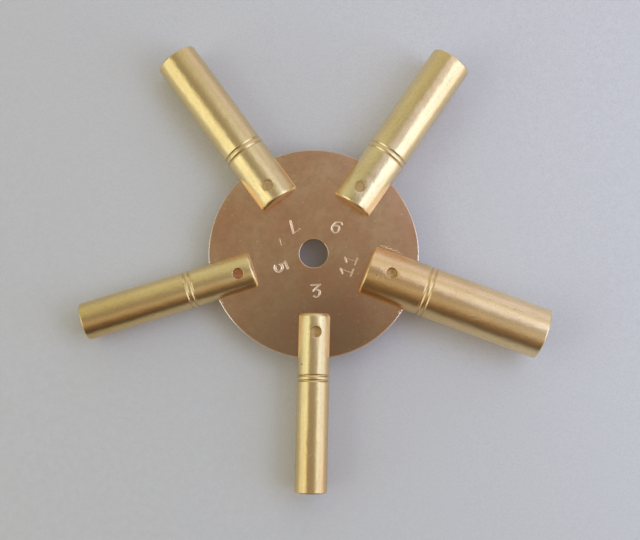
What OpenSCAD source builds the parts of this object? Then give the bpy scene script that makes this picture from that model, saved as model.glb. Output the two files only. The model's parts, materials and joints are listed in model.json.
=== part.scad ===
// Five-arm winding key for clocks. A flat grip disc carries five turned socket rods.
// Each rod is slotted at its inner end, straddles the disc's rim and is held by one cross pin.
// Its outer end has a blind square hole that fits over a winding square.
// The origin is the centre of the disc at mid-thickness, +Z is the axis of its middle hole,
// and the number 11 arm points along +X. Sizes are in millimetres and angles in degrees.

/* [Grip disc] */
// Outside diameter of the disc
disc_d = 39.4; // [37:0.1:44]
// Thickness of the disc
disc_t = 1.6; // [1.2:0.1:2.2]
// Rounding of the rim's upper and lower edges
rim_round = 0.25; // [0.1:0.05:0.5]
// Diameter of the middle hole
hole_d = 5.2; // [4:0.1:7]
// Chamfer on both edges of the middle hole
hole_chamfer = 0.15; // [0.05:0.05:0.4]
// Depth of the flat seat cut into the rim for each rod
seat_depth = 1.6; // [1.2:0.1:2.4]
// Rounding of the two lips where a seat meets the rim
lip_round = 0.6; // [0.2:0.05:0.8]

/* [Fits] */
// Gap between the disc and each side of a rod's slot
slot_clearance = 0.05; // [0.02:0.01:0.15]
// Gap between a seat and the rod that stands in it, at the floor and at both sides
seat_clearance = 0.05; // [0.02:0.01:0.15]
// Radial gap between a cross pin and its hole
pin_clearance = 0.02; // [0.01:0.01:0.1]

/* [Rods and pins] */
// Diameter of the cross pins
pin_d = 2; // [1.5:0.1:2.4]
// Chamfer on the ends of the cross pins
pin_chamfer = 0.2; // [0.05:0.05:0.4]
// Rounding of the rods' outer edges
mouth_round = 0.3; // [0.1:0.05:0.5]
// Width of one ring groove, which is half as deep
groove_w = 0.4; // [0.2:0.05:0.6]
// Distance between the two ring grooves of a pair
groove_pitch = 0.78; // [0.7:0.02:1.2]
// Depth of the square holes
square_depth = 12; // [8:0.5:14]
// How much narrower the round pilot hole is than the square
pilot_under = 0.1; // [0.02:0.02:0.3]
// How far the pilot hole runs on past the square
pilot_relief = 2.5; // [1:0.5:4]
// Full angle of the pilot hole's drilled tip
drill_angle = 118; // [90:1:135]
// Width of the chamfer round the mouth of a square hole
mouth_chamfer = 0.35; // [0.1:0.05:0.5]

/* [Numerals] */
// Height of the stamped numerals
numeral_h = 2.5; // [1.8:0.1:3]
// Width of one numeral
numeral_w = 1.5; // [1:0.1:2]
// Width of a stroke
stroke_w = 0.34; // [0.2:0.02:0.5]
// Depth of the stamping
stamp_depth = 0.15; // [0.05:0.01:0.3]
// Radius of the round parts of a numeral
bowl_r = 0.7; // [0.4:0.05:0.85]
// Distance between the two strokes of the number 11
ones_pitch = 2.2; // [1.6:0.1:2.6]
// How far the flag of a 1 reaches sideways
flag_reach = 0.9; // [0.4:0.1:1.2]
// How far the flag of a 1 drops
flag_drop = 0.7; // [0.3:0.1:1]

/* [Number 3 arm] */
// Diameter of the rod
d_3 = 6; // [5.5:0.1:7]
// Width of the square hole across its flats
square_3 = 3.25; // [2.75:0.05:3.5]
// Length of the rod
length_3 = 32.8; // [30:0.1:40]
// Direction of the rod, anticlockwise from +X
angle_3 = 289.1; // [285:0.1:293]
// How far the rod lies to the left of the disc's centre, looking outwards
offset_3 = 0.4; // [-0.8:0.05:0.8]
// How far the rod reaches in over the disc from its rim
overlap_3 = 8.45; // [7:0.05:9.5]
// Rounding of the rod's inner edge
inner_round_3 = 0.5; // [0.1:0.05:0.6]
// Middle of the pair of grooves, from the inner end
groove_3 = 11.9; // [10.5:0.1:13]
// Distance of the pin from the inner end
pin_in_3 = 3.45; // [2.5:0.05:5]
// How far the pin lies to the left of the rod's axis
pin_side_3 = 0.35; // [-0.5:0.05:0.5]
// Depth of the pin's ends below the rod's surface
pin_recess_3 = 0.5; // [0.1:0.05:0.8]
// Distance of the numeral from the disc's centre
numeral_r_3 = 6.8; // [5.5:0.1:7.5]
// Turn of the numeral round the disc, away from the rod's direction
numeral_turn_3 = 4.6; // [-8:0.1:8]

/* [Number 5 arm] */
// Diameter of the rod
d_5 = 7; // [6.5:0.1:8]
// Width of the square hole across its flats
square_5 = 3.75; // [3.25:0.05:4]
// Length of the rod
length_5 = 33; // [30:0.1:40]
// Direction of the rod, anticlockwise from +X
angle_5 = 217.6; // [213:0.1:222]
// How far the rod lies to the left of the disc's centre, looking outwards
offset_5 = -0.45; // [-0.8:0.05:0.8]
// How far the rod reaches in over the disc from its rim
overlap_5 = 8.15; // [7:0.05:9.5]
// Rounding of the rod's inner edge
inner_round_5 = 0.25; // [0.1:0.05:0.6]
// Middle of the pair of grooves, from the inner end
groove_5 = 12.3; // [10.5:0.1:13]
// Distance of the pin from the inner end
pin_in_5 = 2.95; // [2.5:0.05:5]
// How far the pin lies to the left of the rod's axis
pin_side_5 = 0.2; // [-0.5:0.05:0.5]
// Depth of the pin's ends below the rod's surface
pin_recess_5 = 0.5; // [0.1:0.05:0.8]
// Distance of the numeral from the disc's centre
numeral_r_5 = 6.65; // [5.5:0.05:7.5]
// Turn of the numeral round the disc, away from the rod's direction
numeral_turn_5 = 5.1; // [-8:0.1:8]

/* [Number 7 arm] */
// Diameter of the rod
d_7 = 8; // [7.2:0.1:9]
// Width of the square hole across its flats
square_7 = 4.25; // [3.75:0.05:4.5]
// Length of the rod
length_7 = 34; // [30:0.1:40]
// Direction of the rod, anticlockwise from +X
angle_7 = 146.4; // [142:0.1:150]
// How far the rod lies to the left of the disc's centre, looking outwards
offset_7 = -0.85; // [-1.2:0.05:1.2]
// How far the rod reaches in over the disc from its rim
overlap_7 = 7.85; // [7:0.05:9.5]
// Rounding of the rod's inner edge
inner_round_7 = 0.25; // [0.1:0.05:0.6]
// Middle of the pair of grooves, from the inner end
groove_7 = 11.6; // [10.5:0.1:13]
// Distance of the pin from the inner end
pin_in_7 = 3.15; // [2.5:0.05:5]
// How far the pin lies to the left of the rod's axis
pin_side_7 = 0.5; // [-0.6:0.05:0.6]
// Depth of the pin's ends below the rod's surface
pin_recess_7 = 0.15; // [0.1:0.05:0.8]
// Distance of the numeral from the disc's centre
numeral_r_7 = 6.1; // [5.5:0.1:7.5]
// Turn of the numeral round the disc, away from the rod's direction
numeral_turn_7 = -0.5; // [-8:0.1:8]

/* [Number 9 arm] */
// Diameter of the rod
d_9 = 8; // [7.6:0.1:9]
// Width of the square hole across its flats
square_9 = 4.75; // [4.25:0.05:4.9]
// Length of the rod
length_9 = 34; // [30:0.1:40]
// Direction of the rod, anticlockwise from +X
angle_9 = 75.8; // [71:0.1:80]
// How far the rod lies to the left of the disc's centre, looking outwards
offset_9 = -0.65; // [-1.2:0.05:1.2]
// How far the rod reaches in over the disc from its rim
overlap_9 = 8.25; // [7:0.05:9.5]
// Rounding of the rod's inner edge
inner_round_9 = 0.25; // [0.1:0.05:0.6]
// Middle of the pair of grooves, from the inner end
groove_9 = 12.1; // [10.5:0.1:13]
// Distance of the pin from the inner end
pin_in_9 = 3.35; // [2.5:0.05:5]
// How far the pin lies to the left of the rod's axis
pin_side_9 = 0.45; // [-0.6:0.05:0.6]
// Depth of the pin's ends below the rod's surface
pin_recess_9 = 0.15; // [0.1:0.05:0.8]
// Distance of the numeral from the disc's centre
numeral_r_9 = 6.6; // [5.5:0.1:7.5]
// Turn of the numeral round the disc, away from the rod's direction
numeral_turn_9 = -6.8; // [-8:0.1:8]

/* [Number 11 arm] */
// Diameter of the rod
d_11 = 9.5; // [8.6:0.1:10.5]
// Width of the square hole across its flats
square_11 = 5.25; // [4.75:0.05:5.5]
// Length of the rod
length_11 = 34.9; // [30:0.1:40]
// Direction of the rod, anticlockwise from +X
angle_11 = 0; // [-4:0.1:4]
// How far the rod lies to the left of the disc's centre, looking outwards
offset_11 = 0.65; // [-1.2:0.05:1.2]
// How far the rod reaches in over the disc from its rim
overlap_11 = 9.4; // [7:0.05:9.8]
// Rounding of the rod's inner edge
inner_round_11 = 0.25; // [0.1:0.05:0.6]
// Middle of the pair of grooves, from the inner end
groove_11 = 11.85; // [10.5:0.05:13]
// Distance of the pin from the inner end
pin_in_11 = 4.5; // [2.5:0.1:5]
// How far the pin lies to the left of the rod's axis
pin_side_11 = 0.45; // [-0.6:0.05:0.6]
// Depth of the pin's ends below the rod's surface
pin_recess_11 = 0.5; // [0.1:0.05:0.8]
// Distance of the numeral from the disc's centre
numeral_r_11 = 6.9; // [5.5:0.1:7.2]
// Turn of the numeral round the disc, away from the rod's direction
numeral_turn_11 = 0; // [-8:0.1:8]

/* [Hidden] */
$fn = 96;

// How far a cutting shape runs past the surface that it cuts
past = 2;

disc_r = disc_d / 2;
hole_r = hole_d / 2;
seat_x = disc_r - seat_depth;
slot_w = disc_t + 2 * slot_clearance;
pin_hole_d = pin_d + 2 * pin_clearance;
glyph_top = numeral_h / 2;
glyph_side = numeral_w / 2;
// Where the lower bowl of a numeral ends, anticlockwise from its right side
bowl_end = -135;
// Where the stem of a 5 meets its bowl
stem_meets = 135;

// One row for each arm, with its sizes in the order that the functions below name them
ARM_3 = [
    3, d_3, square_3, length_3, angle_3, offset_3, overlap_3, inner_round_3,
    groove_3, pin_in_3, pin_side_3, pin_recess_3, numeral_r_3, numeral_turn_3
];
ARM_5 = [
    5, d_5, square_5, length_5, angle_5, offset_5, overlap_5, inner_round_5,
    groove_5, pin_in_5, pin_side_5, pin_recess_5, numeral_r_5, numeral_turn_5
];
ARM_7 = [
    7, d_7, square_7, length_7, angle_7, offset_7, overlap_7, inner_round_7,
    groove_7, pin_in_7, pin_side_7, pin_recess_7, numeral_r_7, numeral_turn_7
];
ARM_9 = [
    9, d_9, square_9, length_9, angle_9, offset_9, overlap_9, inner_round_9,
    groove_9, pin_in_9, pin_side_9, pin_recess_9, numeral_r_9, numeral_turn_9
];
ARM_11 = [
    11, d_11, square_11, length_11, angle_11, offset_11, overlap_11, inner_round_11,
    groove_11, pin_in_11, pin_side_11, pin_recess_11, numeral_r_11, numeral_turn_11
];
ARMS = [ARM_3, ARM_5, ARM_7, ARM_9, ARM_11];

function number(arm) = arm[0];
function rod_r(arm) = arm[1] / 2;
function square_w(arm) = arm[2];
function rod_length(arm) = arm[3];
function angle(arm) = arm[4];
function offset_y(arm) = arm[5];
function inner_x(arm) = disc_r - arm[6];
function inner_round(arm) = arm[7];
function groove_x(arm) = arm[8];
function pin_x(arm) = inner_x(arm) + arm[9];
function pin_y(arm) = arm[10];
function pin_recess(arm) = arm[11];
function numeral_r(arm) = arm[12];
function numeral_turn(arm) = arm[13];

// Height of the rod's surface above its axis, where the pin goes through
function pin_surface(arm) = sqrt(pow(rod_r(arm), 2) - pow(pin_y(arm), 2));

// Puts a shape into an arm's frame: X runs outwards along the rod's axis, from beside the disc's centre
module in_arm(arm) {
    rotate([0, 0, angle(arm)])
        translate([0, offset_y(arm), 0])
            children();
}

// What rounding with radius r takes off the outer corner at the origin of a shape below and left of it
module corner_waste(r) {
    difference() {
        translate([-r, -r])
            square(r + past);
        translate([-r, -r])
            circle(r);
    }
}

// Straight stroke of a numeral, with round ends
module line_stroke(from, to) {
    run = to - from;
    translate(from)
        rotate(atan2(run[1], run[0]))
            translate([0, -stroke_w / 2])
                square([norm(run), stroke_w]);
    for (end = [from, to])
        translate(end)
            circle(d = stroke_w);
}

// Round stroke of a numeral, from one angle anticlockwise to another, up to three quarters of a turn
module arc_stroke(centre, from, to) {
    reach = 2 * (bowl_r + stroke_w);
    third = (to - from) / 3;
    translate(centre) {
        intersection() {
            difference() {
                circle(bowl_r + stroke_w / 2);
                circle(bowl_r - stroke_w / 2);
            }
            polygon(concat(
                [[0, 0]],
                [for (step = [0:3]) reach * [cos(from + step * third), sin(from + step * third)]]
            ));
        }
        for (end = [from, to])
            translate(bowl_r * [cos(end), sin(end)])
                circle(d = stroke_w);
    }
}

module numeral_3() {
    low_bowl = [0, bowl_r - glyph_top];
    line_stroke([-glyph_side, glyph_top], [glyph_side, glyph_top]);
    line_stroke([glyph_side, glyph_top], [0, 2 * bowl_r - glyph_top]);
    arc_stroke(low_bowl, bowl_end, 90);
}

module numeral_5() {
    low_bowl = [0, bowl_r - glyph_top];
    stem_foot = low_bowl + bowl_r * [cos(stem_meets), sin(stem_meets)];
    line_stroke([stem_foot[0], glyph_top], [glyph_side, glyph_top]);
    line_stroke([stem_foot[0], glyph_top], stem_foot);
    arc_stroke(low_bowl, bowl_end, stem_meets);
}

module numeral_7() {
    line_stroke([-glyph_side, glyph_top], [glyph_side, glyph_top]);
    line_stroke([glyph_side, glyph_top], [0, -glyph_top]);
}

module numeral_9() {
    loop = [0, glyph_top - bowl_r];
    hook = [0, bowl_r - glyph_top];
    arc_stroke(loop, 0, 180);
    arc_stroke(loop, 180, 360);
    line_stroke(loop + [bowl_r, 0], hook + [bowl_r, 0]);
    arc_stroke(hook, bowl_end, 0);
}

module numeral_1() {
    line_stroke([0, glyph_top], [0, -glyph_top]);
    line_stroke([0, glyph_top], [-flag_reach, glyph_top - flag_drop]);
    line_stroke([-glyph_side, -glyph_top], [glyph_side, -glyph_top]);
}

module numeral_11() {
    for (side = [-1, 1])
        translate([side * ones_pitch / 2, 0])
            numeral_1();
}

// An arm's numeral, sunk into the disc's upper face with its top towards the middle
module stamped_numeral(arm) {
    rotate([0, 0, angle(arm) + numeral_turn(arm)])
        translate([numeral_r(arm), 0, disc_t / 2 - stamp_depth])
            rotate([0, 0, 90])
                linear_extrude(stamp_depth + past) {
                    if (number(arm) == 3) numeral_3();
                    if (number(arm) == 5) numeral_5();
                    if (number(arm) == 7) numeral_7();
                    if (number(arm) == 9) numeral_9();
                    if (number(arm) == 11) numeral_11();
                }
}

// Half section of the disc, from its middle hole to its rim
module disc_section() {
    difference() {
        translate([hole_r, -disc_t / 2])
            square([disc_r - hole_r, disc_t]);
        for (side = [0, 1])
            mirror([0, side]) {
                translate([disc_r, disc_t / 2])
                    corner_waste(rim_round);
                translate([hole_r, disc_t / 2])
                    rotate(45)
                        square(hole_chamfer * sqrt(2), center = true);
            }
    }
}

// Outline of one seat: a flat floor across the rod's width, and two rounded lips at the rim
module seat_outline(arm) {
    half_w = rod_r(arm) + seat_clearance;
    translate([seat_x, -half_w])
        square([seat_depth + past, 2 * half_w]);
    for (side = [-1, 1]) {
        rim_x = sqrt(pow(disc_r, 2) - pow(offset_y(arm) + side * (half_w + lip_round), 2));
        lip_r = min(lip_round, rim_x - seat_x);
        translate([rim_x, side * half_w])
            mirror([0, (1 + side) / 2])
                corner_waste(lip_r);
    }
}

module pin_hole(arm) {
    translate([pin_x(arm), pin_y(arm), 0])
        cylinder(d = pin_hole_d, h = 2 * (rod_r(arm) + past), center = true);
}

module grip_disc() {
    color("peru")
        difference() {
            rotate_extrude()
                disc_section();
            for (arm = ARMS) {
                in_arm(arm) {
                    linear_extrude(disc_t + 2 * past, center = true)
                        seat_outline(arm);
                    pin_hole(arm);
                }
                stamped_numeral(arm);
            }
        }
}

// Half section of a rod along its length, with both edges rounded and the pair of ring grooves
module rod_section(arm) {
    difference() {
        square([rod_r(arm), rod_length(arm)]);
        translate([rod_r(arm), 0])
            mirror([0, 1])
                corner_waste(inner_round(arm));
        translate([rod_r(arm), rod_length(arm)])
            corner_waste(mouth_round);
        for (side = [-1, 1])
            translate([rod_r(arm), groove_x(arm) + side * groove_pitch / 2])
                circle(d = groove_w);
    }
}

// Square hole with its round pilot hole, drilled tip and chamfered mouth, along Z with the mouth at zero
module square_hole(width) {
    pilot_r = (width - pilot_under) / 2;
    pilot_depth = square_depth + pilot_relief;
    tip = pilot_r / tan(drill_angle / 2);
    mouth_r = width / 2 + mouth_chamfer;
    translate([-width / 2, -width / 2, -square_depth])
        cube([width, width, square_depth + past]);
    translate([0, 0, -pilot_depth])
        cylinder(r = pilot_r, h = pilot_relief + past);
    translate([0, 0, -pilot_depth - tip])
        cylinder(r1 = 0, r2 = pilot_r, h = tip);
    translate([0, 0, -mouth_chamfer])
        cylinder(r1 = width / 2, r2 = mouth_r + past, h = mouth_chamfer + past);
}

module socket(arm) {
    slot_end = seat_x + seat_clearance;
    color("darkkhaki")
        in_arm(arm)
            difference() {
                translate([inner_x(arm), 0, 0])
                    rotate([0, 90, 0])
                        difference() {
                            rotate_extrude()
                                rod_section(arm);
                            translate([0, 0, rod_length(arm)])
                                square_hole(square_w(arm));
                        }
                translate([inner_x(arm) - past, -rod_r(arm) - past, -slot_w / 2])
                    cube([slot_end - inner_x(arm) + past, 2 * (rod_r(arm) + past), slot_w]);
                pin_hole(arm);
            }
}

module cross_pin(arm) {
    end_z = pin_surface(arm) - pin_recess(arm);
    color("sienna")
        in_arm(arm)
            translate([pin_x(arm), pin_y(arm), 0])
                rotate_extrude()
                    polygon([
                        [0, -end_z],
                        [pin_d / 2 - pin_chamfer, -end_z],
                        [pin_d / 2, pin_chamfer - end_z],
                        [pin_d / 2, end_z - pin_chamfer],
                        [pin_d / 2 - pin_chamfer, end_z],
                        [0, end_z]
                    ]);
}

module socket_3() { socket(ARM_3); }
module socket_5() { socket(ARM_5); }
module socket_7() { socket(ARM_7); }
module socket_9() { socket(ARM_9); }
module socket_11() { socket(ARM_11); }
module pin_3() { cross_pin(ARM_3); }
module pin_5() { cross_pin(ARM_5); }
module pin_7() { cross_pin(ARM_7); }
module pin_9() { cross_pin(ARM_9); }
module pin_11() { cross_pin(ARM_11); }

grip_disc();
socket_3();
socket_5();
socket_7();
socket_9();
socket_11();
pin_3();
pin_5();
pin_7();
pin_9();
pin_11();
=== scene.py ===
import json
import math
from types import SimpleNamespace

import bmesh
import bpy
from mathutils import Matrix, Vector


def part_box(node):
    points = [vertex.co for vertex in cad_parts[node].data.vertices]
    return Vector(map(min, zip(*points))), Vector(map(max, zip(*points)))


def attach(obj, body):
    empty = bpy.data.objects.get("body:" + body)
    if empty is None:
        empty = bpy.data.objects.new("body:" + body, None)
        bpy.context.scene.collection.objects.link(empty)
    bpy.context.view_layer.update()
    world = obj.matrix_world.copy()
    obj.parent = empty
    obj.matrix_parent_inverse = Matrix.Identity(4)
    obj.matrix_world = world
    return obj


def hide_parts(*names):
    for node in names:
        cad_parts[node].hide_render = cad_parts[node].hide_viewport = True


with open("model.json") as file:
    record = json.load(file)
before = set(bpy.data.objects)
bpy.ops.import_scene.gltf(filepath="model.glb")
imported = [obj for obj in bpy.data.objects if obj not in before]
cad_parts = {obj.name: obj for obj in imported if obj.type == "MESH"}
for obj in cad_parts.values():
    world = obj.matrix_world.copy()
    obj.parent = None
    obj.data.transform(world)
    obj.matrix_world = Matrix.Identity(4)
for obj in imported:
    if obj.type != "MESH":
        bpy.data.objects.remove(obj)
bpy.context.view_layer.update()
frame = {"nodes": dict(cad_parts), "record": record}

# Lengths are in metres. PAST is how far a cutter goes past what it cuts, and TINY is the radius of a
# turned tip.
MM = 0.001
PAST = 2 * MM
TINY = 0.01 * MM
QUARTER = math.pi / 2
WHOLE_TURN = 360
UPRIGHT = Matrix.Rotation(-QUARTER, 4, "Y")

# Fineness of the round shapes.
DISC_SIDES = 360
ROD_SIDES = 72
HOLE_SIDES = 160
PIN_SIDES = 60
ARC_STEPS = 6
GROOVE_STEPS = 10
BOW_STEPS = 24
HOLE_ROUND_STEPS = 3

# Edges that are sharper than this, in degrees, stay sharp in the shading.
SHARP_DISC = 20
SHARP_ROD = 35
SHARP_BURR = 50

# The disc, its reach read from the frame. Its faces whose normals have more of Z than LEVEL are flat.
DISC_R = -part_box("grip_disc")[0].x
DISC_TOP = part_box("grip_disc")[1].z
HOLE_R = 2.6 * MM
HOLE_EDGE = 0.22 * MM
SEAT_DEPTH = 1.6 * MM
SEAT_GAP = 0.02 * MM
LIP_ROUND = 0.3 * MM
LIP_BITE = 0.03 * MM
RIM_ROUND = 0.18 * MM
LEVEL = 0.9999

# The rods and pins.
GROOVE_HALF = 0.31 * MM
GROOVE_DEPTH = 0.18 * MM
GROOVE_PITCH = 0.95 * MM
MOUTH_ROUND = 0.3 * MM
SQUARE_DEPTH = 12 * MM
PILOT_UNDER = 0.1 * MM
PILOT_RELIEF = 2.5 * MM
DRILL_HALF_ANGLE = math.radians(59)
MOUTH_CHAMFER = 0.35 * MM
PIN_LAND = 1.6 * MM
PIN_EDGE = 0.06 * MM
FLUSH_UNDER = 0.12 * MM

# How an edge of a pin's hole is told from the rest: its vertices lie this near the hole's wall, and of
# its two faces one stands at least this steep and the other lies at least this level. Vertices that are
# closer than the merge are made one before the edge is rounded, and those closer than the last value
# are the same place.
HOLE_NEAR = 2 * TINY
HOLE_STEEP = 0.2
HOLE_LEVEL = 0.5
HOLE_MERGE = 0.04 * MM
SAME_PLACE = 0.001 * MM

# The numerals.
STROKE_DEPTH = 0.09 * MM
STROKE_SPREAD = 0.12
STROKE_SIDES = 8
STROKE_BLUNT = 0.4
FLAT_DOWN = math.pi / STROKE_SIDES
NUMERAL_TOP = 1.12 * MM
NUMERAL_RIGHT = 0.75 * MM
BOWL_R = 0.7 * MM
STEM_X = -0.75 * BOWL_R
ONES_AT = (-0.92 * MM, 1.33 * MM)
FLAG_REACH = 0.75 * MM
FLAG_DROP = 0.62 * MM
BASE_HALF = 0.6 * MM
FAINT_W = 0.6
FAINT_DEPTH = 0.8

# Marks of use: a gouge in the disc's face, and burrs raised beside the rods and at the lips of the
# seats. A burr is a row of chips, each with its place along and beside the rod, its half length and
# its half width in millimetres, and its turn in degrees.
GOUGE_W = 0.16 * MM
GOUGE_DEPTH = 0.03 * MM
GOUGE_START = (-6.93 * MM, 0.4 * MM)
GOUGE_END = (-6.2 * MM, -0.7 * MM)
CHIP_H = 0.1 * MM
CHIP_ROUGH = 0.3
BURRS = {
    5: [
        (19.2, 3.7, 0.26, 0.19, 40),
        (18.95, 4.35, 0.36, 0.13, 105),
        (19.02, -3.7, 0.27, 0.19, 120),
    ],
    9: [
        (19.12, 4.2, 0.28, 0.19, 60),
    ],
    11: [
        (11.35, 5.05, 0.3, 0.2, 20),
        (11.7, 4.95, 0.28, 0.14, -40),
        (11.85, 5.28, 0.16, 0.1, 70),
        (12.2, 5.05, 0.34, 0.22, -5),
        (12.6, 5.3, 0.2, 0.12, 40),
        (12.75, 4.98, 0.4, 0.16, 12),
        (13.2, 5.12, 0.26, 0.2, -60),
        (13.5, 4.95, 0.3, 0.14, 0),
        (13.65, 5.3, 0.14, 0.1, 15),
        (14.0, 5.04, 0.36, 0.16, 24),
        (14.45, 5.2, 0.22, 0.11, -30),
        (14.8, 4.95, 0.34, 0.13, 4),
        (15.4, 4.93, 0.2, 0.1, 30),
        (18.4, 5.75, 0.5, 0.13, 100),
        (18.55, 4.95, 0.25, 0.14, 60),
        (18.95, -5.0, 0.32, 0.22, 50),
        (18.75, -5.5, 0.42, 0.18, 105),
    ],
}

# What differs from arm to arm, in millimetres: the groove pair's distance from the inner end, the
# rounding of the inner edge, the rounding of the pin hole's edge, and how much deeper the pin's ends
# lie than the solid's and how far they are dished.
ARM_DETAILS = {
    3: dict(groove=11.9, inner_round=0.65, hole_round=0.1, sink=0.15, dish=0.18),
    5: dict(groove=12.3, inner_round=0.7, hole_round=0.08, sink=0, dish=0.08),
    7: dict(groove=11.6, inner_round=0.65, hole_round=0.1, sink=0, dish=0.05),
    9: dict(groove=11.8, inner_round=0.45, hole_round=0.1, sink=0, dish=0.05),
    11: dict(groove=11.85, inner_round=0.45, hole_round=0.12, sink=0.2, dish=0.22),
}

# The arms whose pins were filed off flush along the rod.
FLUSH_PINS = (7, 9)

# Each numeral's distance from the middle, its turn in degrees and the width of its strokes.
NUMERALS = {
    3: (7 * MM, 4.6, 0.42 * MM),
    5: (6.65 * MM, 5.1, 0.54 * MM),
    7: (6.4 * MM, -0.5, 0.46 * MM),
    9: (6.6 * MM, -6.8, 0.42 * MM),
    11: (6.8 * MM, 0, 0.42 * MM),
}

# Where the camera stood over the key, and how it was turned.
CAMERA_AT = (8.27 * MM, -20.96 * MM, 182.1 * MM)
CAMERA_TURN = (math.radians(6.106), math.radians(-0.217), math.radians(20.317))
CAMERA_LENS = 54.95
CAMERA_NEAR = 0.001

# The table: its half size in metres, and how far under the rods it stays.
TABLE_HALF = 1
TABLE_GAP = 0.02 * MM


def read_arm(number):
    """One arm's own frame (X out along the rod, Z up) and its sizes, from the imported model."""
    mount = next(m for m in frame["record"]["mounts"] if m["name"] == f"square_{number}")
    out = Vector(mount["axis"])
    left = Vector((-out.y, out.x, 0))
    side = Vector(mount["pos_m"]).dot(left)
    reach = [v.co.dot(out) for v in frame["nodes"][f"socket_{number}"].data.vertices]
    pin_low, pin_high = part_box(f"pin_{number}")
    pin = (pin_low + pin_high) / 2
    turn_to = math.atan2(out.y, out.x)
    return SimpleNamespace(
        number=number,
        angle=turn_to,
        side=side,
        place=Matrix.Rotation(turn_to, 4, "Z") @ Matrix.Translation((0, side, 0)),
        radius=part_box(f"socket_{number}")[1].z,
        inner=min(reach),
        mouth=max(reach),
        square=2 * mount["dims"]["r_mm"] * MM + PILOT_UNDER,
        pin_x=pin.dot(out),
        pin_y=pin.dot(left) - side,
        pin_top=pin_high.z,
        pin_r=(pin_high.x - pin_low.x) / 2,
        flush=number in FLUSH_PINS,
        **{name: size * MM for name, size in ARM_DETAILS[number].items()},
    )


ARMS = [read_arm(number) for number in ARM_DETAILS]


def idle():
    """Object mode with nothing selected, as every new piece starts."""
    if bpy.context.mode != "OBJECT":
        bpy.ops.object.mode_set(mode="OBJECT")
    bpy.ops.object.select_all(action="DESELECT")


def take(piece):
    """Object mode with one piece alone selected and active."""
    idle()
    bpy.context.view_layer.objects.active = piece
    piece.select_set(True)


def settled(name):
    """Name the new primitive and put its place into its mesh."""
    piece = bpy.context.object
    piece.name = name
    piece.data.name = name
    bpy.ops.object.transform_apply(location=True, rotation=True, scale=True)
    return piece


def work_on(piece):
    """Edit mode on one piece alone."""
    take(piece)
    bpy.ops.object.mode_set(mode="EDIT")


def pick(piece, kind, test):
    """Select in edit mode the vertices, edges or faces that pass the test."""
    bpy.ops.mesh.select_mode(type=kind)
    bpy.ops.mesh.select_all(action="DESELECT")
    shape = bmesh.from_edit_mesh(piece.data)
    elements = {"VERT": shape.verts, "EDGE": shape.edges, "FACE": shape.faces}[kind]
    for element in elements:
        if test(element):
            element.select_set(True)
    bmesh.update_edit_mesh(piece.data)


def move(piece, matrix):
    """Carry a piece to its place and leave its object at the origin."""
    take(piece)
    piece.matrix_world = matrix
    bpy.ops.object.transform_apply(location=True, rotation=True, scale=True)
    return piece


def turn(name, profile, sides):
    """A solid turned about the X axis: a round blank drawn out along (x, radius) pairs."""
    idle()
    x, radius = profile[0]
    bpy.ops.mesh.primitive_circle_add(
        vertices=sides, radius=radius, fill_type="NGON", location=(x, 0, 0), rotation=(0, QUARTER, 0)
    )
    piece = settled(name)
    work_on(piece)
    bpy.ops.mesh.select_all(action="SELECT")
    for next_x, next_radius in profile[1:]:
        bpy.ops.mesh.extrude_region_move(TRANSFORM_OT_translate={"value": (next_x - x, 0, 0)})
        grow = next_radius / radius
        bpy.ops.transform.resize(value=(1, grow, grow), center_override=(next_x, 0, 0))
        x, radius = next_x, next_radius
    bpy.ops.mesh.select_all(action="SELECT")
    bpy.ops.mesh.normals_make_consistent(inside=False)
    idle()
    return piece


def block(name, low, high):
    """A rectangular cutter between two corners."""
    idle()
    low, high = Vector(low), Vector(high)
    bpy.ops.mesh.primitive_cube_add(size=1, location=(low + high) / 2, scale=high - low)
    return settled(name)


def cut(piece, *tools, keep="DIFFERENCE"):
    """Take each tool's shape out of the piece, or keep that alone, and put the tool away."""
    for tool in tools:
        take(piece)
        modifier = piece.modifiers.new("cut", "BOOLEAN")
        modifier.operation = keep
        modifier.solver = "EXACT"
        modifier.object = tool
        bpy.ops.object.modifier_apply(modifier=modifier.name)
        bpy.data.meshes.remove(tool.data)


def smooth(piece, degrees):
    """Shade round faces smooth and keep edges that are sharper than the angle."""
    take(piece)
    bpy.ops.object.shade_smooth_by_angle(angle=math.radians(degrees))


def weigh_normals(piece):
    """Let the large faces of a piece set the shading of the small ones beside them."""
    take(piece)
    modifier = piece.modifiers.new("weigh", "WEIGHTED_NORMAL")
    modifier.keep_sharp = True
    bpy.ops.object.modifier_apply(modifier=modifier.name)


def quarter_steps():
    """The angles of a rounded edge's points."""
    return [QUARTER * i / ARC_STEPS for i in range(ARC_STEPS + 1)]


def quarter_round(x, radius, size, towards):
    """Profile points of a rounded edge: out of an end face (towards 1) or into one (towards -1)."""
    points = [(size * (1 - math.cos(a)), radius - size * (1 - math.sin(a))) for a in quarter_steps()]
    points = [(x + towards * along, r) for along, r in points]
    return points if towards > 0 else points[::-1]


def mirrored(profile):
    """A profile with its mirror image before it, about the middle of the disc's thickness."""
    return [(-x, r) for x, r in profile[::-1]] + profile


def ring_groove(x, radius):
    """Profile points of one soft turned groove."""
    points = []
    for i in range(GROOVE_STEPS + 1):
        across = 2 * i / GROOVE_STEPS - 1
        depth = GROOVE_DEPTH * (0.5 + 0.5 * math.cos(math.pi * across))
        points.append((x + across * GROOVE_HALF, radius - depth))
    return points


def at_pin(arm):
    """The turn and shift that stand a turned piece upright at an arm's pin."""
    return Matrix.Translation((arm.pin_x, arm.pin_y, 0)) @ UPRIGHT


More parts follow.
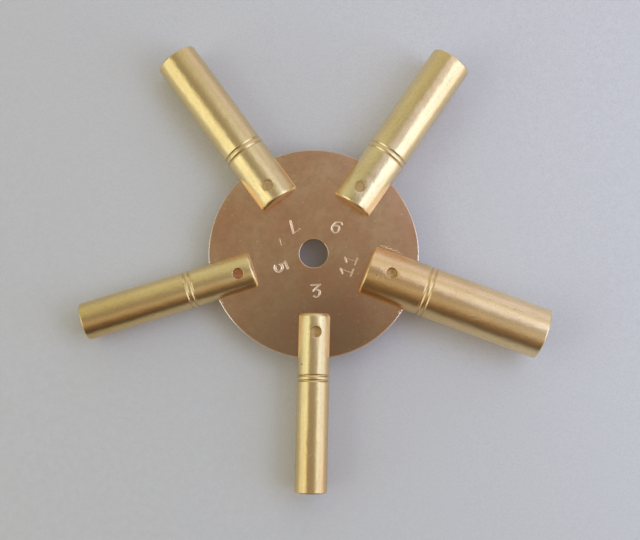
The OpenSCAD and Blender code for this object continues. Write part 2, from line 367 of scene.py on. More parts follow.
def join_close(rod, spots, bearing):
    """Make vertices one that lie too close together, taken in order round a hole so that runs agree."""
    groups = []
    for spot in sorted(spots, key=bearing):
        if groups and (spot - groups[-1][0]).length < HOLE_MERGE:
            groups[-1].append(spot)
        else:
            groups.append([spot])
    for group in groups:
        if len(group) > 1:
            pick(rod, "VERT", lambda vert: any((vert.co - spot).length < SAME_PLACE for spot in group))
            bpy.ops.mesh.merge(type="CENTER")


def soften_pin_hole(rod, arm):
    """Round over the edges where the pin's hole comes out of the rod, above and below."""

    def bearing(spot):
        return math.atan2(spot.y - arm.pin_y, spot.x - arm.pin_x)

    def at_mouth(vert):
        off = math.hypot(vert.co.x - arm.pin_x, vert.co.y - arm.pin_y) - arm.pin_r
        return abs(off) < HOLE_NEAR and abs(vert.co.z) > 2 * DISC_TOP

    def is_mouth(edge):
        tilts = sorted(abs(face.normal.z) for face in edge.link_faces)
        on_wall = all(at_mouth(vert) for vert in edge.verts)
        return on_wall and tilts[0] < HOLE_STEEP and tilts[1] > HOLE_LEVEL

    work_on(rod)
    for side in (1, -1):
        verts = bmesh.from_edit_mesh(rod.data).verts
        spots = [vert.co.copy() for vert in verts if at_mouth(vert) and side * vert.co.z > 0]
        join_close(rod, spots, bearing)
    pick(rod, "EDGE", is_mouth)
    bpy.ops.mesh.bevel(offset=arm.hole_round, segments=HOLE_ROUND_STEPS, affect="EDGES")
    idle()


def make_rod(arm):
    """A turned rod: rounded ends, two ring grooves, a slot that straddles the disc, a square socket."""
    groove_x = arm.inner + arm.groove
    profile = quarter_round(arm.inner, arm.radius, arm.inner_round, 1)
    profile += [(arm.pin_x - PIN_LAND, arm.radius), (arm.pin_x + PIN_LAND, arm.radius)]
    profile += ring_groove(groove_x - GROOVE_PITCH / 2, arm.radius)
    profile += ring_groove(groove_x + GROOVE_PITCH / 2, arm.radius)
    profile += quarter_round(arm.mouth, arm.radius, MOUTH_ROUND, -1)
    rod = turn(f"turned_rod_{arm.number}", profile, ROD_SIDES)

    slot_end = DISC_R - SEAT_DEPTH + SEAT_GAP
    slot_half = DISC_TOP + SEAT_GAP
    wide = arm.radius + PAST
    slot = block("slot_tool", (arm.inner - PAST, -wide, -slot_half), (slot_end, wide, slot_half))

    past_mouth = arm.mouth + PAST
    floor_x = arm.mouth - SQUARE_DEPTH
    half = arm.square / 2
    square = block("square_tool", (floor_x, -half, -half), (past_mouth, half, half))
    pilot_r = half - PILOT_UNDER / 2
    pilot_end = floor_x - PILOT_RELIEF
    tip = pilot_end - pilot_r / math.tan(DRILL_HALF_ANGLE)
    pilot = turn("pilot_tool", [(tip, TINY), (pilot_end, pilot_r), (past_mouth, pilot_r)], PIN_SIDES)
    mouth_r = half + MOUTH_CHAMFER
    cone = [(arm.mouth - mouth_r, TINY), (arm.mouth, mouth_r), (past_mouth, mouth_r + PAST)]
    chamfer = turn("chamfer_tool", cone, ROD_SIDES)
    cut(rod, slot, pilot, square, chamfer)

    past_side = arm.radius + PAST
    hole = turn("pin_tool", [(-past_side, arm.pin_r), (past_side, arm.pin_r)], PIN_SIDES)
    cut(rod, move(hole, at_pin(arm)))
    soften_pin_hole(rod, arm)
    move(rod, arm.place)
    smooth(rod, SHARP_ROD)
    weigh_normals(rod)
    return rod


def make_pin(arm):
    """A cross pin: cut wire with eased, dished ends, or filed off flush along the rod."""
    end_r = arm.pin_r - PIN_EDGE
    high = arm.pin_top - arm.sink
    shares = [1 - i / ARC_STEPS for i in range(ARC_STEPS)]
    top = [(high - PIN_EDGE, arm.pin_r)]
    top += [(high - arm.dish * (1 - share**2), end_r * share) for share in shares]
    top += [(high - arm.dish, TINY)]
    pin = move(turn(f"cross_pin_{arm.number}", mirrored(top), PIN_SIDES), at_pin(arm))
    if arm.flush:
        flush_r = arm.radius - FLUSH_UNDER
        along = [(arm.pin_x - PAST, flush_r), (arm.pin_x + PAST, flush_r)]
        cut(pin, turn("flush_tool", along, ROD_SIDES), keep="INTERSECT")
    move(pin, arm.place)
    smooth(pin, SHARP_ROD)
    return pin


def seat_tools(arm):
    """Cutters for the seat that fits round a rod in the rim, with its two lips rounded off."""
    seat_x = DISC_R - SEAT_DEPTH
    half = arm.radius + SEAT_GAP
    tall = DISC_TOP + PAST
    tools = [turn("seat_tool", [(seat_x, half), (DISC_R + PAST, half)], ROD_SIDES)]
    edge_y = math.sqrt(half**2 - DISC_TOP**2) - LIP_BITE
    for sign in (1, -1):
        centre_y = sign * (edge_y + LIP_ROUND)
        centre_x = math.sqrt(DISC_R**2 - (arm.side + centre_y) ** 2) - LIP_ROUND
        near, far = sorted((sign * (edge_y - LIP_ROUND), centre_y))
        lip = block("lip_tool", (centre_x, near, -tall), (DISC_R + PAST, far, tall))
        rounding = turn("rounding_tool", [(-2 * tall, LIP_ROUND), (2 * tall, LIP_ROUND)], PIN_SIDES)
        cut(lip, move(rounding, Matrix.Translation((centre_x, centre_y, 0)) @ UPRIGHT))
        tools.append(lip)
    return [move(tool, arm.place) for tool in tools]


def bar(start, end, width, depth=STROKE_DEPTH):
    """A straight stroke: an eight-sided bar with narrowed ends, sunk to half its height."""
    start, end = Vector((*start, 0)), Vector((*end, 0))
    length = (end - start).length
    half = width / 2
    blunt = STROKE_BLUNT * half
    profile = [(-half, blunt), (0, half), (length, half), (length + half, blunt)]
    tool = turn("stroke_tool", profile, STROKE_SIDES)
    move(tool, Matrix.Rotation(FLAT_DOWN, 4, "X"))
    flat = Matrix.Diagonal((1, 1, depth / half, 1))
    along = Matrix.Rotation(math.atan2(end.y - start.y, end.x - start.x), 4, "Z")
    return move(tool, Matrix.Translation(start) @ along @ flat)


def bow(centre, radius, first, last, width):
    """A curved stroke about a centre, from one angle to another in degrees, or a whole ring."""
    idle()
    half = width / 2
    bpy.ops.mesh.primitive_circle_add(
        vertices=STROKE_SIDES,
        radius=half,
        fill_type="NOTHING" if last - first == WHOLE_TURN else "NGON",
        location=(radius, 0, 0),
        rotation=(QUARTER, FLAT_DOWN, 0),
    )
    tool = settled("stroke_tool")
    work_on(tool)
    bpy.ops.mesh.select_all(action="SELECT")
    sweep = math.radians(first - last)
    bpy.ops.mesh.spin(steps=BOW_STEPS, angle=sweep, center=(0, 0, 0), axis=(0, 0, 1))
    bpy.ops.mesh.select_all(action="SELECT")
    bpy.ops.mesh.remove_doubles(threshold=TINY)
    bpy.ops.mesh.normals_make_consistent(inside=False)
    flat = Matrix.Diagonal((1, 1, STROKE_DEPTH / half, 1))
    about = Matrix.Rotation(math.radians(first), 4, "Z")
    return move(tool, Matrix.Translation((*centre, 0)) @ about @ flat)


def numeral_tools(arm):
    """The stamp strokes of one arm's number, its tops towards the middle of the disc."""
    reach, turned, width = NUMERALS[arm.number]
    top, right = NUMERAL_TOP, NUMERAL_RIGHT
    high_bowl = (0, top - BOWL_R)
    low_bowl = (0, BOWL_R - top)
    tools = []

    # Places are shares of the half width, the half height and the radius of the bowls.
    def straight(start, end, faint=False):
        share, depth = (FAINT_W, FAINT_DEPTH * STROKE_DEPTH) if faint else (1, STROKE_DEPTH)
        tools.append(bar(start, end, share * width, depth))

    def curved(centre, first, last):
        tools.append(bow(centre, BOWL_R, first, last, width))

    if arm.number == 3:
        straight((-1.1 * right, top), (1.1 * right, top))
        straight((1.1 * right, top), (-0.6 * right, 0))
        curved(low_bowl, -140, 85)
    elif arm.number == 5:
        straight((STEM_X, top), (right, top))
        straight((STEM_X, top), (STEM_X, BOWL_R / 2 + low_bowl[1]), faint=True)
        curved(low_bowl, -150, 140)
    elif arm.number == 7:
        straight((1.2 * right, top), (0, -top))
        straight((-0.7 * right, top), (1.2 * right, top), faint=True)
        straight((-0.75 * right, 1.08 * top), (-0.65 * right, 0.85 * top), faint=True)
    elif arm.number == 9:
        curved(high_bowl, 0, WHOLE_TURN)
        straight((1.08 * BOWL_R, 1.1 * high_bowl[1]), (1.06 * BOWL_R, low_bowl[1]))
        curved((0.06 * BOWL_R, low_bowl[1]), -135, 5)
    else:
        for x in ONES_AT:
            straight((x, -top), (x, top), faint=True)
            straight((x, top), (x - FLAG_REACH, top - FLAG_DROP))
            straight((x - BASE_HALF, -top), (x + BASE_HALF, -top))
    stand = Matrix.Rotation(arm.angle + math.radians(turned), 4, "Z")
    stand = stand @ Matrix.Translation((reach, 0, DISC_TOP)) @ Matrix.Rotation(QUARTER, 4, "Z")
    for i, tool in enumerate(tools):
        deeper = Matrix.Diagonal((1, 1, 1 + STROKE_SPREAD * i, 1))
        move(tool, stand @ deeper)
    return tools


def make_disc():
    """The grip disc: a rounded rim with seats cut in it, a middle hole, pin holes and numerals."""
    rim = quarter_round(-DISC_TOP, DISC_R, RIM_ROUND, 1)
    rim += quarter_round(DISC_TOP, DISC_R, RIM_ROUND, -1)
    disc = move(turn("stamped_disc", rim, DISC_SIDES), UPRIGHT)
    for arm in ARMS:
        cut(disc, *seat_tools(arm))

    mouth = HOLE_R + HOLE_EDGE
    flare = []
    for a in quarter_steps():
        flare.append((DISC_TOP - HOLE_EDGE * (1 - math.sin(a)), mouth - HOLE_EDGE * math.cos(a)))
    flare.append((DISC_TOP + PAST, mouth))
    cut(disc, move(turn("hole_tool", mirrored(flare), HOLE_SIDES), UPRIGHT))
    for arm in ARMS:
        hole = turn("pin_tool", [(-PAST, arm.pin_r), (PAST, arm.pin_r)], PIN_SIDES)
        cut(disc, move(hole, arm.place @ at_pin(arm)))
        cut(disc, *numeral_tools(arm))
    gouge = bar(GOUGE_START, GOUGE_END, GOUGE_W, GOUGE_DEPTH)
    cut(disc, move(gouge, Matrix.Translation((0, 0, DISC_TOP))))
    work_on(disc)
    bpy.ops.mesh.select_all(action="SELECT")
    bpy.ops.mesh.quads_convert_to_tris(quad_method="BEAUTY", ngon_method="BEAUTY")
    smooth(disc, SHARP_DISC)
    work_on(disc)
    pick(disc, "FACE", lambda face: abs(face.normal.z) > LEVEL)
    bpy.ops.mesh.faces_shade_flat()
    idle()
    return disc


def make_burr(arm, chips):
    """A row of little raised chips on the disc beside a rod, in one piece."""
    idle()
    bpy.ops.mesh.primitive_ico_sphere_add(subdivisions=2, radius=1)
    chip = settled("chip")
    work_on(chip)
    bpy.ops.mesh.select_all(action="SELECT")
    bpy.ops.transform.vertex_random(offset=CHIP_ROUGH, uniform=CHIP_ROUGH, seed=arm.number)
    idle()
    row = []
    for *sizes, turned in chips:
        x, y, length, width = (size * MM for size in sizes)
        copy = chip.copy()
        copy.data = chip.data.copy()
        bpy.context.collection.objects.link(copy)
        shape = Matrix.Diagonal((length, width, CHIP_H, 1))
        about = Matrix.Rotation(math.radians(turned), 4, "Z")
        row.append(move(copy, arm.place @ Matrix.Translation((x, y, DISC_TOP)) @ about @ shape))
    bpy.data.meshes.remove(chip.data)
    idle()
    for copy in row:
        copy.select_set(True)
    bpy.context.view_layer.objects.active = row[0]
    bpy.ops.object.join()
    burr = settled(f"seat_burr_{arm.number}")
    smooth(burr, SHARP_BURR)
    return burr


class Value:
    """A node's output socket; arithmetic on values adds Math nodes to their tree."""

    def __init__(self, socket):
        self.socket = socket
        self.tree = socket.id_data

    def add(self, kind, settings, inputs, output=0):
        """A new node of this type, its settings made first, then its sockets filled or linked."""
        node = self.tree.nodes.new(kind)
        for name, setting in settings.items():
            if name == "stops":
                elements = node.color_ramp.elements
                while len(elements) < len(setting):
                    elements.new(1)
                for element, (position, colour) in zip(elements, setting):
                    element.position = position
                    element.color = (*colour, 1)
            else:
                setattr(node, name, setting)
        for name, value in inputs.items():
            if isinstance(value, Value):
                self.tree.links.new(value.socket, node.inputs[name])
            else:
                node.inputs[name].default_value = value
        return Value(node.outputs[output])

    def math(self, operation, *values):
        return self.add("ShaderNodeMath", {"operation": operation}, dict(enumerate(values)))

    def __add__(self, other):
        return self.math("ADD", self, other)

    def __sub__(self, other):
        return self.math("SUBTRACT", self, other)

    def __rsub__(self, other):
        return self.math("SUBTRACT", other, self)

    def __mul__(self, other):
        return self.math("MULTIPLY", self, other)

    __radd__ = __add__
    __rmul__ = __mul__


def vector_math(operation, at, *others, output=0):
    """A Vector Math node on a point; those that give a number have it at the output Value."""
    inputs = dict(enumerate((at, *others)))
    return at.add("ShaderNodeVectorMath", {"operation": operation}, inputs, output)


def part_of(at, axis):
    """One of a point's three coordinates."""
    return at.add("ShaderNodeSeparateXYZ", {}, {0: at}, axis)


def noise(at, scale, detail):
    """Soft noise from 0 to 1 on a point in millimetres, with its own scale along each axis."""
    stretched = vector_math("MULTIPLY", at, scale)
    return at.add("ShaderNodeTexNoise", {}, {"Vector": stretched, "Scale": 1, "Detail": detail})


def step(value, low, high):
    """A soft step from 0 at low to 1 at high."""
    settings = {"interpolation_type": "SMOOTHSTEP"}
    inputs = {"Value": value, "From Min": low, "From Max": high}
    return value.add("ShaderNodeMapRange", settings, inputs)


# The Mix node's two colours and its mixed colour, which come after its numbers and vectors.
MIX_FIRST = 6
MIX_SECOND = 7
MIX_RESULT = 2


def mix(share, first, second):
    """The first colour, turning into the second as the share goes from 0 to 1."""
    inputs = {0: share, MIX_FIRST: first, MIX_SECOND: second}
    return share.add("ShaderNodeMix", {"data_type": "RGBA"}, inputs, MIX_RESULT)


def layered(pattern, shares):
    """Patterns added up, each as strong as its share."""
    total = 0
    for name, share in shares.items():
        total = total + share * pattern[name]
    return total


def cover(colour, mask, share, tint):
    """Lay a tint over a colour where the mask is 1, as strongly as the share says."""
    return mix(mask * share, colour, tint)


def stain(colour, pattern, low, high, share, tint):
    """Lay a tint over a colour where a pattern rises from low to high."""
    return cover(colour, step(pattern, low, high), share, tint)


def tone(red, green, blue):
    """A colour as a picture shows it, 0 to 255, as the shader's linear colour."""
    parts = [c / 255 for c in (red, green, blue)]
    return [c / 12.92 if c < 0.04045 else ((c + 0.055) / 1.055) ** 2.4 for c in parts] + [1]


def new_material(name, location=(0, 0, 0), angle=0):
    """A material, its Principled node, and a place on the object in millimetres from a point."""
    material = bpy.data.materials.new(name)
    material.use_nodes = True
    tree = material.node_tree
    surface = tree.nodes["Principled BSDF"]
    place = Value(tree.nodes.new("ShaderNodeTexCoord").outputs["Object"])
    inputs = {"Vector": place, "Location": location, "Rotation": (0, 0, angle), "Scale": (MM, MM, MM)}
    return material, surface, place.add("ShaderNodeMapping", {"vector_type": "TEXTURE"}, inputs)


def finish_metal(surface, colour, roughness, height, relief):
    """Feed a metal's varying colour, roughness and fine relief into its surface."""
    bump = height.add("ShaderNodeBump", {}, {"Strength": 1, "Distance": relief, "Height": height})
    tree = colour.tree
    surface.inputs["Metallic"].default_value = 1
    tree.links.new(colour.socket, surface.inputs["Base Color"])
    tree.links.new(roughness.socket, surface.inputs["Roughness"])
    tree.links.new(bump.socket, surface.inputs["Normal"])


def lacquer(surface, weight, roughness):
    """A clear film over a metal, evenly laid."""
    surface.inputs["Coat Weight"].default_value = weight
    surface.inputs["Coat Roughness"].default_value = roughness


# The share of a scratch over which it fades out, along and across.
SCRATCH_FADE = 0.3

# How ragged the edges of spots and flecks are, the fineness and detail of their raggedness, and the
# shares of their size between which they set in. FLECK_CHOICE is how sharply a fleck is kept or left out.
SPOT_RAGGED = 1.2
SPOT_EDGE = ((4, 4, 4), 2)
SPOT_FADE = (1.6, 1.1)
FLECK_RAGGED = 0.12
FLECK_EDGE = ((6, 6, 6), 2)
FLECK_FADE = 0.5
FLECK_CHOICE = 0.9


def line_mark(at, start, end, width):
    """A fine straight scratch between two places in millimetres: 1 along it and 0 beside it."""
    along = Vector((end[0] - start[0], end[1] - start[1], 0))
    length = along.length
    along.normalize()
    beside = Vector((-along.y, along.x, 0))
    origin = Vector((*start, 0))

    def reach(direction):
        return vector_math("DOT_PRODUCT", at, direction, output="Value") - origin.dot(direction)

    run = reach(along)
    aside = reach(beside)
    off = aside.math("ABSOLUTE", aside)
    ends = step(run, 0, SCRATCH_FADE * length) * step(run, length, (1 - SCRATCH_FADE) * length)
    return step(off, width, SCRATCH_FADE * width) * ends


def spot_mark(at, centre, size):
    """A soft spot with a ragged edge at a place in millimetres, seen from above."""
    flat = vector_math("MULTIPLY", at, (1, 1, 0))
    away = vector_math("DISTANCE", flat, (*centre, 0), output="Value")
    ragged = away + SPOT_RAGGED * size * noise(at, *SPOT_EDGE)
    return step(ragged, *(share * size for share in SPOT_FADE))


def flecks(at, scale, size, share):
    """Sparse small flecks: one in each cell of a scatter, kept in this share of the cells."""
    cells = {"Vector": vector_math("MULTIPLY", at, scale), "Scale": 1}
    flat = {"voronoi_dimensions": "2D"}
    away = at.add("ShaderNodeTexVoronoi", flat, cells, "Distance")
    lot = at.add("ShaderNodeTexVoronoi", flat, cells, "Color")
    kept = at.add("ShaderNodeSeparateColor", {}, {0: lot}, "Red")
    large = at.add("ShaderNodeSeparateColor", {}, {0: lot}, "Green")
    ragged = away + FLECK_RAGGED * noise(at, *FLECK_EDGE) - FLECK_RAGGED / 2
    chosen = step(kept, 1 - share, 1 - FLECK_CHOICE * share)
    return step(ragged, size * large, FLECK_FADE * size * large) * chosen


# Each rod's own brass: its tone at the inner end and at the mouth.
BRASS = {
    3: (tone(241, 217, 156), tone(224, 192, 127)),
    5: (tone(241, 218, 156), tone(227, 197, 130)),
    7: (tone(241, 218, 156), tone(231, 204, 137)),
    9: (tone(249, 229, 174), tone(239, 213, 152)),
    11: (tone(238, 203, 143), tone(255, 231, 178)),
}

# How dull each rod is before its streaks, and how much clear film it still has over its brass.
SATIN = {3: 0.26, 5: 0.23, 7: 0.25, 9: 0.22, 11: 0.25}
FILM = {3: 0.8, 5: 0.8, 7: 1, 9: 1, 11: 0.4}
FILM_ROUGHNESS = 0.5

# The patterns on a rod: how fine each is along and across it, per millimetre, and its detail.
ROD_PATTERNS = {
    "cloud": ((0.12, 0.3, 0.3), 3),
    "streak": ((0.5, 4, 4), 3),
    "grain": ((6, 2, 2), 2),
    "sway": ((0.45, 0.5, 0.5), 2),
    "pebble": ((1.8, 2.2, 2.2), 3),
    "speckle": ((3, 3, 3), 2),
    "pit": ((2.2, 2.2, 2.2), 1),
}

# Where a pattern on a rod starts to show and is full, how strongly it covers the brass and its tone.
ROD_STAINS = {
    "cloud": (0.3, 0.7, 0.3, tone(214, 180, 118)),
    "streak": (0.45, 0.8, 0.25, tone(200, 168, 114)),
    "speckle": (0.5, 0.75, 0.25, tone(176, 138, 84)),
}
ROD_PITS = (0.73, 0.8, 0.4, tone(110, 84, 52))

# How much each pattern dulls a rod and how far it stands out in the fine relief.
ROD_DULLING = {"cloud": 0.08, "streak": 0.08}
ROD_BUMPS = {"grain": 1, "streak": 0.8, "pebble": 5, "sway": 17}
ROD_RELIEF = 0.004 * MM

# Dirt in the grooves and the sawn end face: the depths in millimetres between which each sets in, how
# strongly it covers the brass and its tone, and how much it dulls the rod.
DIRT_DEPTH = (0.06, 0.2)
DIRT = (0.1, tone(120, 84, 48))
DIRT_DULLING = -0.1
END_FACE_DEPTH = (0.2, 0.04)
END_FACE = (0.5, tone(232, 180, 126))
END_FACE_DULLING = 0.25

# Light scuffs and dark specks on the rods, in millimetres along and beside each rod.
SCUFFS = {
    11: [((12.75, 1.4), (12.5, -2.2)), ((12.85, 1.3), (13.9, -1.6))],
    9: [((30, 1.0), (32.5, 0.2))],
    3: [((36.5, 0.4), (37.4, -0.6))],
}
SCUFF_W = 0.07
SCUFF = (0.8, tone(255, 240, 205))
SPECKS = {3: [((20.7, -2.15), 0.17)], 11: [((12.35, -0.8), 0.14)], 5: [((24.6, -0.9), 0.12)]}
SPECK = (0.85, tone(58, 46, 30))


def rod_material(arm):
    """Satin turned brass, with the pattern laid along one rod."""
    name = f"satin_brass_{arm.number}"
    material, surface, at = new_material(name, arm.place.translation, arm.angle)
    pattern = {name: noise(at, *size) for name, size in ROD_PATTERNS.items()}
    across = vector_math("MULTIPLY", at, (0, 1, 1))
    radius = vector_math("LENGTH", across, output="Value")
    along = part_of(at, "X")
    inner = arm.inner / MM
    end_face = step(along, *(inner + depth for depth in END_FACE_DEPTH))
    dirt = step(radius, *(arm.radius / MM - depth for depth in DIRT_DEPTH)) * (1 - end_face)
    colour = mix(step(along, inner, arm.mouth / MM), *BRASS[arm.number])
    for name, look in ROD_STAINS.items():
        colour = stain(colour, pattern[name], *look)
    colour = cover(colour, dirt, *DIRT)
    colour = cover(colour, end_face, *END_FACE)
    colour = stain(colour, pattern["pit"], *ROD_PITS)
    for start, end in SCUFFS.get(arm.number, []):
        colour = cover(colour, line_mark(at, start, end, SCUFF_W), *SCUFF)
    for centre, size in SPECKS.get(arm.number, []):
        colour = cover(colour, spot_mark(at, centre, size), *SPECK)
    roughness = SATIN[arm.number] + layered(pattern, ROD_DULLING)
    roughness = roughness + DIRT_DULLING * dirt + END_FACE_DULLING * end_face
    finish_metal(surface, colour, roughness, layered(pattern, ROD_BUMPS), ROD_RELIEF)
    lacquer(surface, FILM[arm.number], FILM_ROUGHNESS)
    return material


# The patterns on the disc's sheet, per millimetre, and their detail.
SHEET_PATTERNS = {
    "patch": ((0.14, 0.14, 0.14), 4),
    "mottle": ((0.7, 0.7, 0.7), 5),
    "grit": ((5, 5, 5), 2),
    "speckle": ((3, 3, 3), 2),
}

# The sheet's two tones, and where a pattern starts to show and is full, how strongly it covers the
# sheet and its tone.
SHEET = (tone(230, 201, 162), tone(223, 179, 141))
SHEET_PATCHES = (0.3, 0.7)
SHEET_STAINS = {
    "mottle": (0.35, 0.7, 0.4, tone(200, 162, 124)),
    "speckle": (0.45, 0.75, 0.25, tone(191, 154, 116)),
}
SHEET_SATIN = 0.15
SHEET_DULLING = {"mottle": 0.06, "patch": 0.05}
SHEET_BUMPS = {"mottle": 1, "grit": 0.3}
SHEET_RELIEF = 0.003 * MM
SHEET_FILM = 0.5
SHEET_FILM_ROUGHNESS = 0.25

# Marks on the sheet: a patch of painted shade at a place in millimetres, scratches and flecks laid level
# with the picture, stamped numerals below the face and between two rings painted bright as a painted
# highlight, and a painted highlight along the rim up to a height on the picture.
PAINTED_SHADE_AT = (9, -11)
PAINTED_SHADE_SIZE = 8
PAINTED_SHADE = (0.3, tone(177, 139, 104))
SCRATCH_PATTERN = ((0.35, 9, 1), 2)
SCRATCHES = (0.66, 0.76, 0.4, tone(244, 218, 186))
FLECK_SPREAD = (0.6, 0.8, 0)
FLECK_SIZE = 0.13
FLECK_SHARE = 0.4
FLECK = (0.7, tone(252, 230, 202))
STAMP_DEPTH = (0.04, 0.07)
STAMP_ABOVE = (0, 0.1)
STAMP_INSIDE = (10.2, 10)
STAMP_OUTSIDE = (3.2, 3.4)
STAMP_HIGHLIGHT = (0.95, tone(255, 233, 202))
STAMP_DULLING = 0.12
RIM_HIGHLIGHT_DEPTH = (0.3, 0.12)
RIM_HIGHLIGHT_BELOW = (13, 9)
RIM_HIGHLIGHT = (0.8, tone(255, 236, 214))


def disc_material():
    """Toned rolled sheet: reddish bronze, mottled, with fine scratches."""
    material, surface, at = new_material("toned_sheet")
    pattern = {name: noise(at, *size) for name, size in SHEET_PATTERNS.items()}
    turned = at.add("ShaderNodeMapping", {}, {"Vector": at, "Rotation": (0, 0, -CAMERA_TURN[2])})
    flat = vector_math("MULTIPLY", at, (1, 1, 0))
    radius = vector_math("LENGTH", flat, output="Value")
    height = part_of(at, "Z")
    stamped = step(height, *(DISC_TOP / MM - depth for depth in STAMP_DEPTH))
    stamped = stamped * step(height, *STAMP_ABOVE)
    stamped = stamped * step(radius, *STAMP_OUTSIDE) * step(radius, *STAMP_INSIDE)
    # Painted highlight along the rim, kept to the lower part of the picture.
    rim_highlight = step(radius, *(DISC_R / MM - depth for depth in RIM_HIGHLIGHT_DEPTH))
    rim_highlight = rim_highlight * step(part_of(turned, "Y"), *RIM_HIGHLIGHT_BELOW)
    colour = mix(step(pattern["patch"], *SHEET_PATCHES), *SHEET)
    for name, look in SHEET_STAINS.items():
        colour = stain(colour, pattern[name], *look)
    # Painted shade: a darker patch on the lower part of the sheet.
    colour = cover(colour, spot_mark(at, PAINTED_SHADE_AT, PAINTED_SHADE_SIZE), *PAINTED_SHADE)
    colour = stain(colour, noise(turned, *SCRATCH_PATTERN), *SCRATCHES)
    colour = cover(colour, flecks(turned, FLECK_SPREAD, FLECK_SIZE, FLECK_SHARE), *FLECK)
    # Painted highlight: the stamped strokes are coloured near white for their glints.
    colour = cover(colour, stamped, *STAMP_HIGHLIGHT)
    # Painted highlight along the rim.
    colour = cover(colour, rim_highlight, *RIM_HIGHLIGHT)
    roughness = SHEET_SATIN + layered(pattern, SHEET_DULLING) + STAMP_DULLING * stamped
    finish_metal(surface, colour, roughness, layered(pattern, SHEET_BUMPS), SHEET_RELIEF)
    lacquer(surface, SHEET_FILM, SHEET_FILM_ROUGHNESS)
    return material


# The pins' wire: the two tones of each finish, and which finish each arm's pin has.
WIRES = {
    "brown_wire": (tone(200, 144, 96), tone(182, 122, 78)),
    "dull_wire": (tone(214, 180, 122), tone(194, 156, 102)),
    "filed_wire": (tone(216, 186, 131), tone(203, 170, 116)),
}
WIRE_OF = {3: "dull_wire", 5: "brown_wire", 7: "filed_wire", 9: "filed_wire", 11: "dull_wire"}
WIRE_PATTERNS = {"patina": ((1.6, 1.6, 1.6), 3), "grit": ((6, 6, 6), 2)}
WIRE_PATCHES = (0.3, 0.7)
WIRE_SATIN = 0.42
WIRE_DULLING = {"patina": 0.2}
WIRE_BUMPS = {"patina": 1, "grit": 0.5}
WIRE_RELIEF = 0.01 * MM


def pin_material(name, bright, brown):
    """Dull wire, stained between two tones."""
    material, surface, at = new_material(name)
    pattern = {name: noise(at, *size) for name, size in WIRE_PATTERNS.items()}
    colour = mix(step(pattern["patina"], *WIRE_PATCHES), bright, brown)
    roughness = WIRE_SATIN + layered(pattern, WIRE_DULLING)
    finish_metal(surface, colour, roughness, layered(pattern, WIRE_BUMPS), WIRE_RELIEF)
    return material


# The paper is painted a little paler towards the picture's upper right across this many millimetres, as
# painted light, and is clouded and fibrous.
FLOOR_LIGHT_TOWARDS = (0.5, 0.85, 0)
FLOOR_LIGHT_REACH = 90
PAPER_SHADE_AND_LIGHT = (tone(214, 215, 211), tone(232, 233, 231))
PAPER_CLOUD = ((0.8, 0.8, 0.8), 3)
PAPER_CLOUDS = (0.3, 0.7, 0.5, tone(223, 225, 222))
PAPER_FIBRE = ((2.6, 2.6, 2.6), 2)
PAPER_FIBRES = (0.4, 0.7, 0.5, tone(212, 213, 214))
PAPER_ROUGHNESS = 0.5
PAPER_SHEEN = 0.8


def floor_material():
    """Pale paper, painted paler towards the picture's upper right as painted light."""
    material, surface, at = new_material("pale_paper")
    across = vector_math("DOT_PRODUCT", at, FLOOR_LIGHT_TOWARDS, output="Value")
    # Painted light: the paper darker at the lower left and paler at the upper right.
    colour = mix(step(across, -FLOOR_LIGHT_REACH, FLOOR_LIGHT_REACH), *PAPER_SHADE_AND_LIGHT)
    colour = stain(colour, noise(at, *PAPER_CLOUD), *PAPER_CLOUDS)
    colour = stain(colour, noise(at, *PAPER_FIBRE), *PAPER_FIBRES)
    material.node_tree.links.new(colour.socket, surface.inputs["Base Color"])
    surface.inputs["Roughness"].default_value = PAPER_ROUGHNESS
    surface.inputs["Specular IOR Level"].default_value = PAPER_SHEEN
    return material


def dress(piece, material, node):
    """Give a piece its finish, hang it on the key's one body and let it stand for its solid."""
    piece.data.materials.clear()
    piece.data.materials.append(material)
    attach(piece, "root")
    if node:
        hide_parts(node)


def make_key():
    """The whole key: its disc, and each arm's rod, pin and burrs."""
    toned_sheet = disc_material()
    dress(make_disc(), toned_sheet, "grip_disc")
    wires = {name: pin_material(name, *tones) for name, tones in WIRES.items()}
    for arm in ARMS:
        dress(make_rod(arm), rod_material(arm), f"socket_{arm.number}")
        dress(make_pin(arm), wires[WIRE_OF[arm.number]], f"pin_{arm.number}")
        if arm.number in BURRS:
            dress(make_burr(arm, BURRS[arm.number]), toned_sheet, None)


def make_floor():
    """The table, tilted under the key as it really rests: on three of the rods."""
    rests = {arm.number: arm for arm in ARMS}
    spots = [(rests[11], rests[11].inner), (rests[7], rests[7].mouth), (rests[5], rests[5].mouth)]
    under = [arm.place @ Vector((x, 0, -arm.radius - TABLE_GAP)) for arm, x in spots]
    normal = (under[1] - under[0]).cross(under[2] - under[0]).normalized()
    if normal.z < 0:
        normal.negate()
    idle()
    bpy.ops.mesh.primitive_plane_add(size=2 * TABLE_HALF)
    floor = settled("table")
    drop = Vector((0, 0, under[0].dot(normal) / normal.z))
    move(floor, Matrix.Translation(drop) @ normal.to_track_quat("Z", "Y").to_matrix().to_4x4())
    floor.data.materials.append(floor_material())


def seen_from_above(bearing, height):
    """A direction by its bearing on the picture (0 up, 90 right) and its height over the table."""
    bearing, height = math.radians(bearing), math.radians(height)
    turn_by = CAMERA_TURN[2]
    picture_up = Vector((-math.sin(turn_by), math.cos(turn_by), 0))
    picture_right = Vector((math.cos(turn_by), math.sin(turn_by), 0))
    level = picture_up * math.cos(bearing) + picture_right * math.sin(bearing)
    return level * math.cos(height) + Vector((0, 0, math.sin(height)))


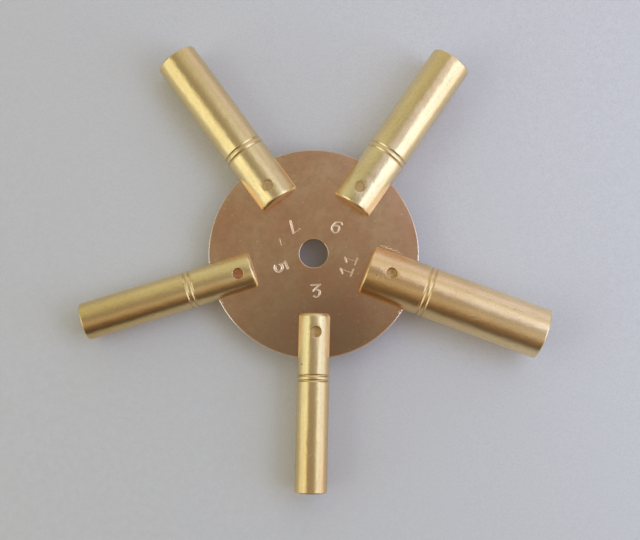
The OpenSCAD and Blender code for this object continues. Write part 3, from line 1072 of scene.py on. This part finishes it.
# The room's light from the camera's side of the key (0) to the side beyond it (1).
ROOM_STOPS = [
    (0.0, (0.027, 0.022, 0.018)),
    (0.12, (0.22, 0.12, 0.054)),
    (0.3, (0.64, 0.56, 0.47)),
    (0.5, (0.09, 0.07, 0.11)),
    (0.7, (0.46, 0.44, 0.33)),
    (1.0, (0.77, 0.81, 0.81)),
]

# A yellowish corner by its bearing and height, with the cosines between which it sets in.
CORNER_AT = (325, 25)
CORNER_SPREAD = (0.75, 0.95)
CORNER = (0.35, (0.62, 0.6, 0.36, 1))

# The ceiling over the key and the dark camera before it, each with the angles in degrees from straight
# overhead between which it sets in. The last tone is what shows past the table's edge.
CEILING_SPREAD = (20, 10)
CEILING = (0.45, 0.375, 0.295, 1)
CAMERA_SPREAD = (7.4, 2.8)
CAMERA_SHADE = (0.03, 0.025, 0.02, 1)
BACKDROP = tone(190, 194, 200)


def make_world():
    """The room: dim and dark on the camera's side, brighter beyond the key."""
    world = bpy.data.worlds.new("room")
    bpy.context.scene.world = world
    world.use_nodes = True
    tree = world.node_tree
    background = tree.nodes["Background"]
    direction = Value(tree.nodes.new("ShaderNodeTexCoord").outputs["Generated"])
    overhead = part_of(direction, "Z")

    def towards(bearing, height):
        return vector_math("DOT_PRODUCT", direction, seen_from_above(bearing, height), output="Value")

    def near_zenith(angles):
        return step(overhead, *(math.cos(math.radians(angle)) for angle in angles))

    room = direction.add("ShaderNodeValToRGB", {"stops": ROOM_STOPS}, {0: 0.5 * towards(0, 0) + 0.5})
    room = cover(room, step(towards(*CORNER_AT), *CORNER_SPREAD), *CORNER)
    room = mix(near_zenith(CEILING_SPREAD), room, CEILING)
    room = mix(near_zenith(CAMERA_SPREAD), room, CAMERA_SHADE)
    camera_ray = Value(tree.nodes.new("ShaderNodeLightPath").outputs["Is Camera Ray"])
    shown = mix(camera_ray, room, BACKDROP)
    tree.links.new(shown.socket, background.inputs["Color"])
    background.inputs["Strength"].default_value = 1


# The panels of soft light: bearing and height in degrees, distance, width and height in metres,
# radiance and colour.
WINDOWS = {
    "left_low": (258, 10, 0.6, 0.5, 0.2, 1.02, (0.86, 0.98, 1)),
    "left_mid": (260, 28, 0.6, 0.5, 0.18, 0.98, (0.8, 0.96, 1)),
    "left_high": (265, 45, 0.6, 0.46, 0.18, 1.42, (0.93, 1, 0.9)),
    "right_low": (100, 10, 0.45, 0.32, 0.16, 1.75, (0.71, 0.68, 0.88)),
    "right_mid": (98, 29, 0.45, 0.32, 0.15, 1.95, (0.36, 0.56, 1)),
    "right_high": (94, 48, 0.45, 0.34, 0.15, 2.3, (0.61, 0.72, 1)),
    "upper_right": (49, 57.5, 0.35, 0.2, 0.2, 1.04, (0.55, 0.58, 1)),
    "back": (20, 14, 0.6, 0.6, 0.3, 0.45, (0.4, 0.25, 1)),
}


def make_window(name, bearing, height, distance, width, tall, radiance, colour):
    """A soft panel of light that faces the key, as bright as the radiance says."""
    light = bpy.data.lights.new(name, "AREA")
    light.shape = "RECTANGLE"
    light.size = width
    light.size_y = tall
    light.energy = radiance * math.pi * width * tall
    light.color = colour
    panel = bpy.data.objects.new(name, light)
    panel.location = seen_from_above(bearing, height) * distance
    panel.rotation_euler = (-panel.location).to_track_quat("-Z", "Y").to_euler()
    panel.visible_camera = False
    bpy.context.scene.collection.objects.link(panel)


def make_camera():
    """The camera over the key."""
    camera_data = bpy.data.cameras.new("camera")
    camera = bpy.data.objects.new("camera", camera_data)
    camera_data.lens = CAMERA_LENS
    camera_data.clip_start = CAMERA_NEAR
    camera.location = CAMERA_AT
    camera.rotation_euler = CAMERA_TURN
    bpy.context.scene.collection.objects.link(camera)
    bpy.context.scene.camera = camera


make_key()
make_floor()
make_world()
for window, sizes in WINDOWS.items():
    make_window(window, *sizes)
make_camera()
bpy.context.scene.view_settings.view_transform = "Standard"
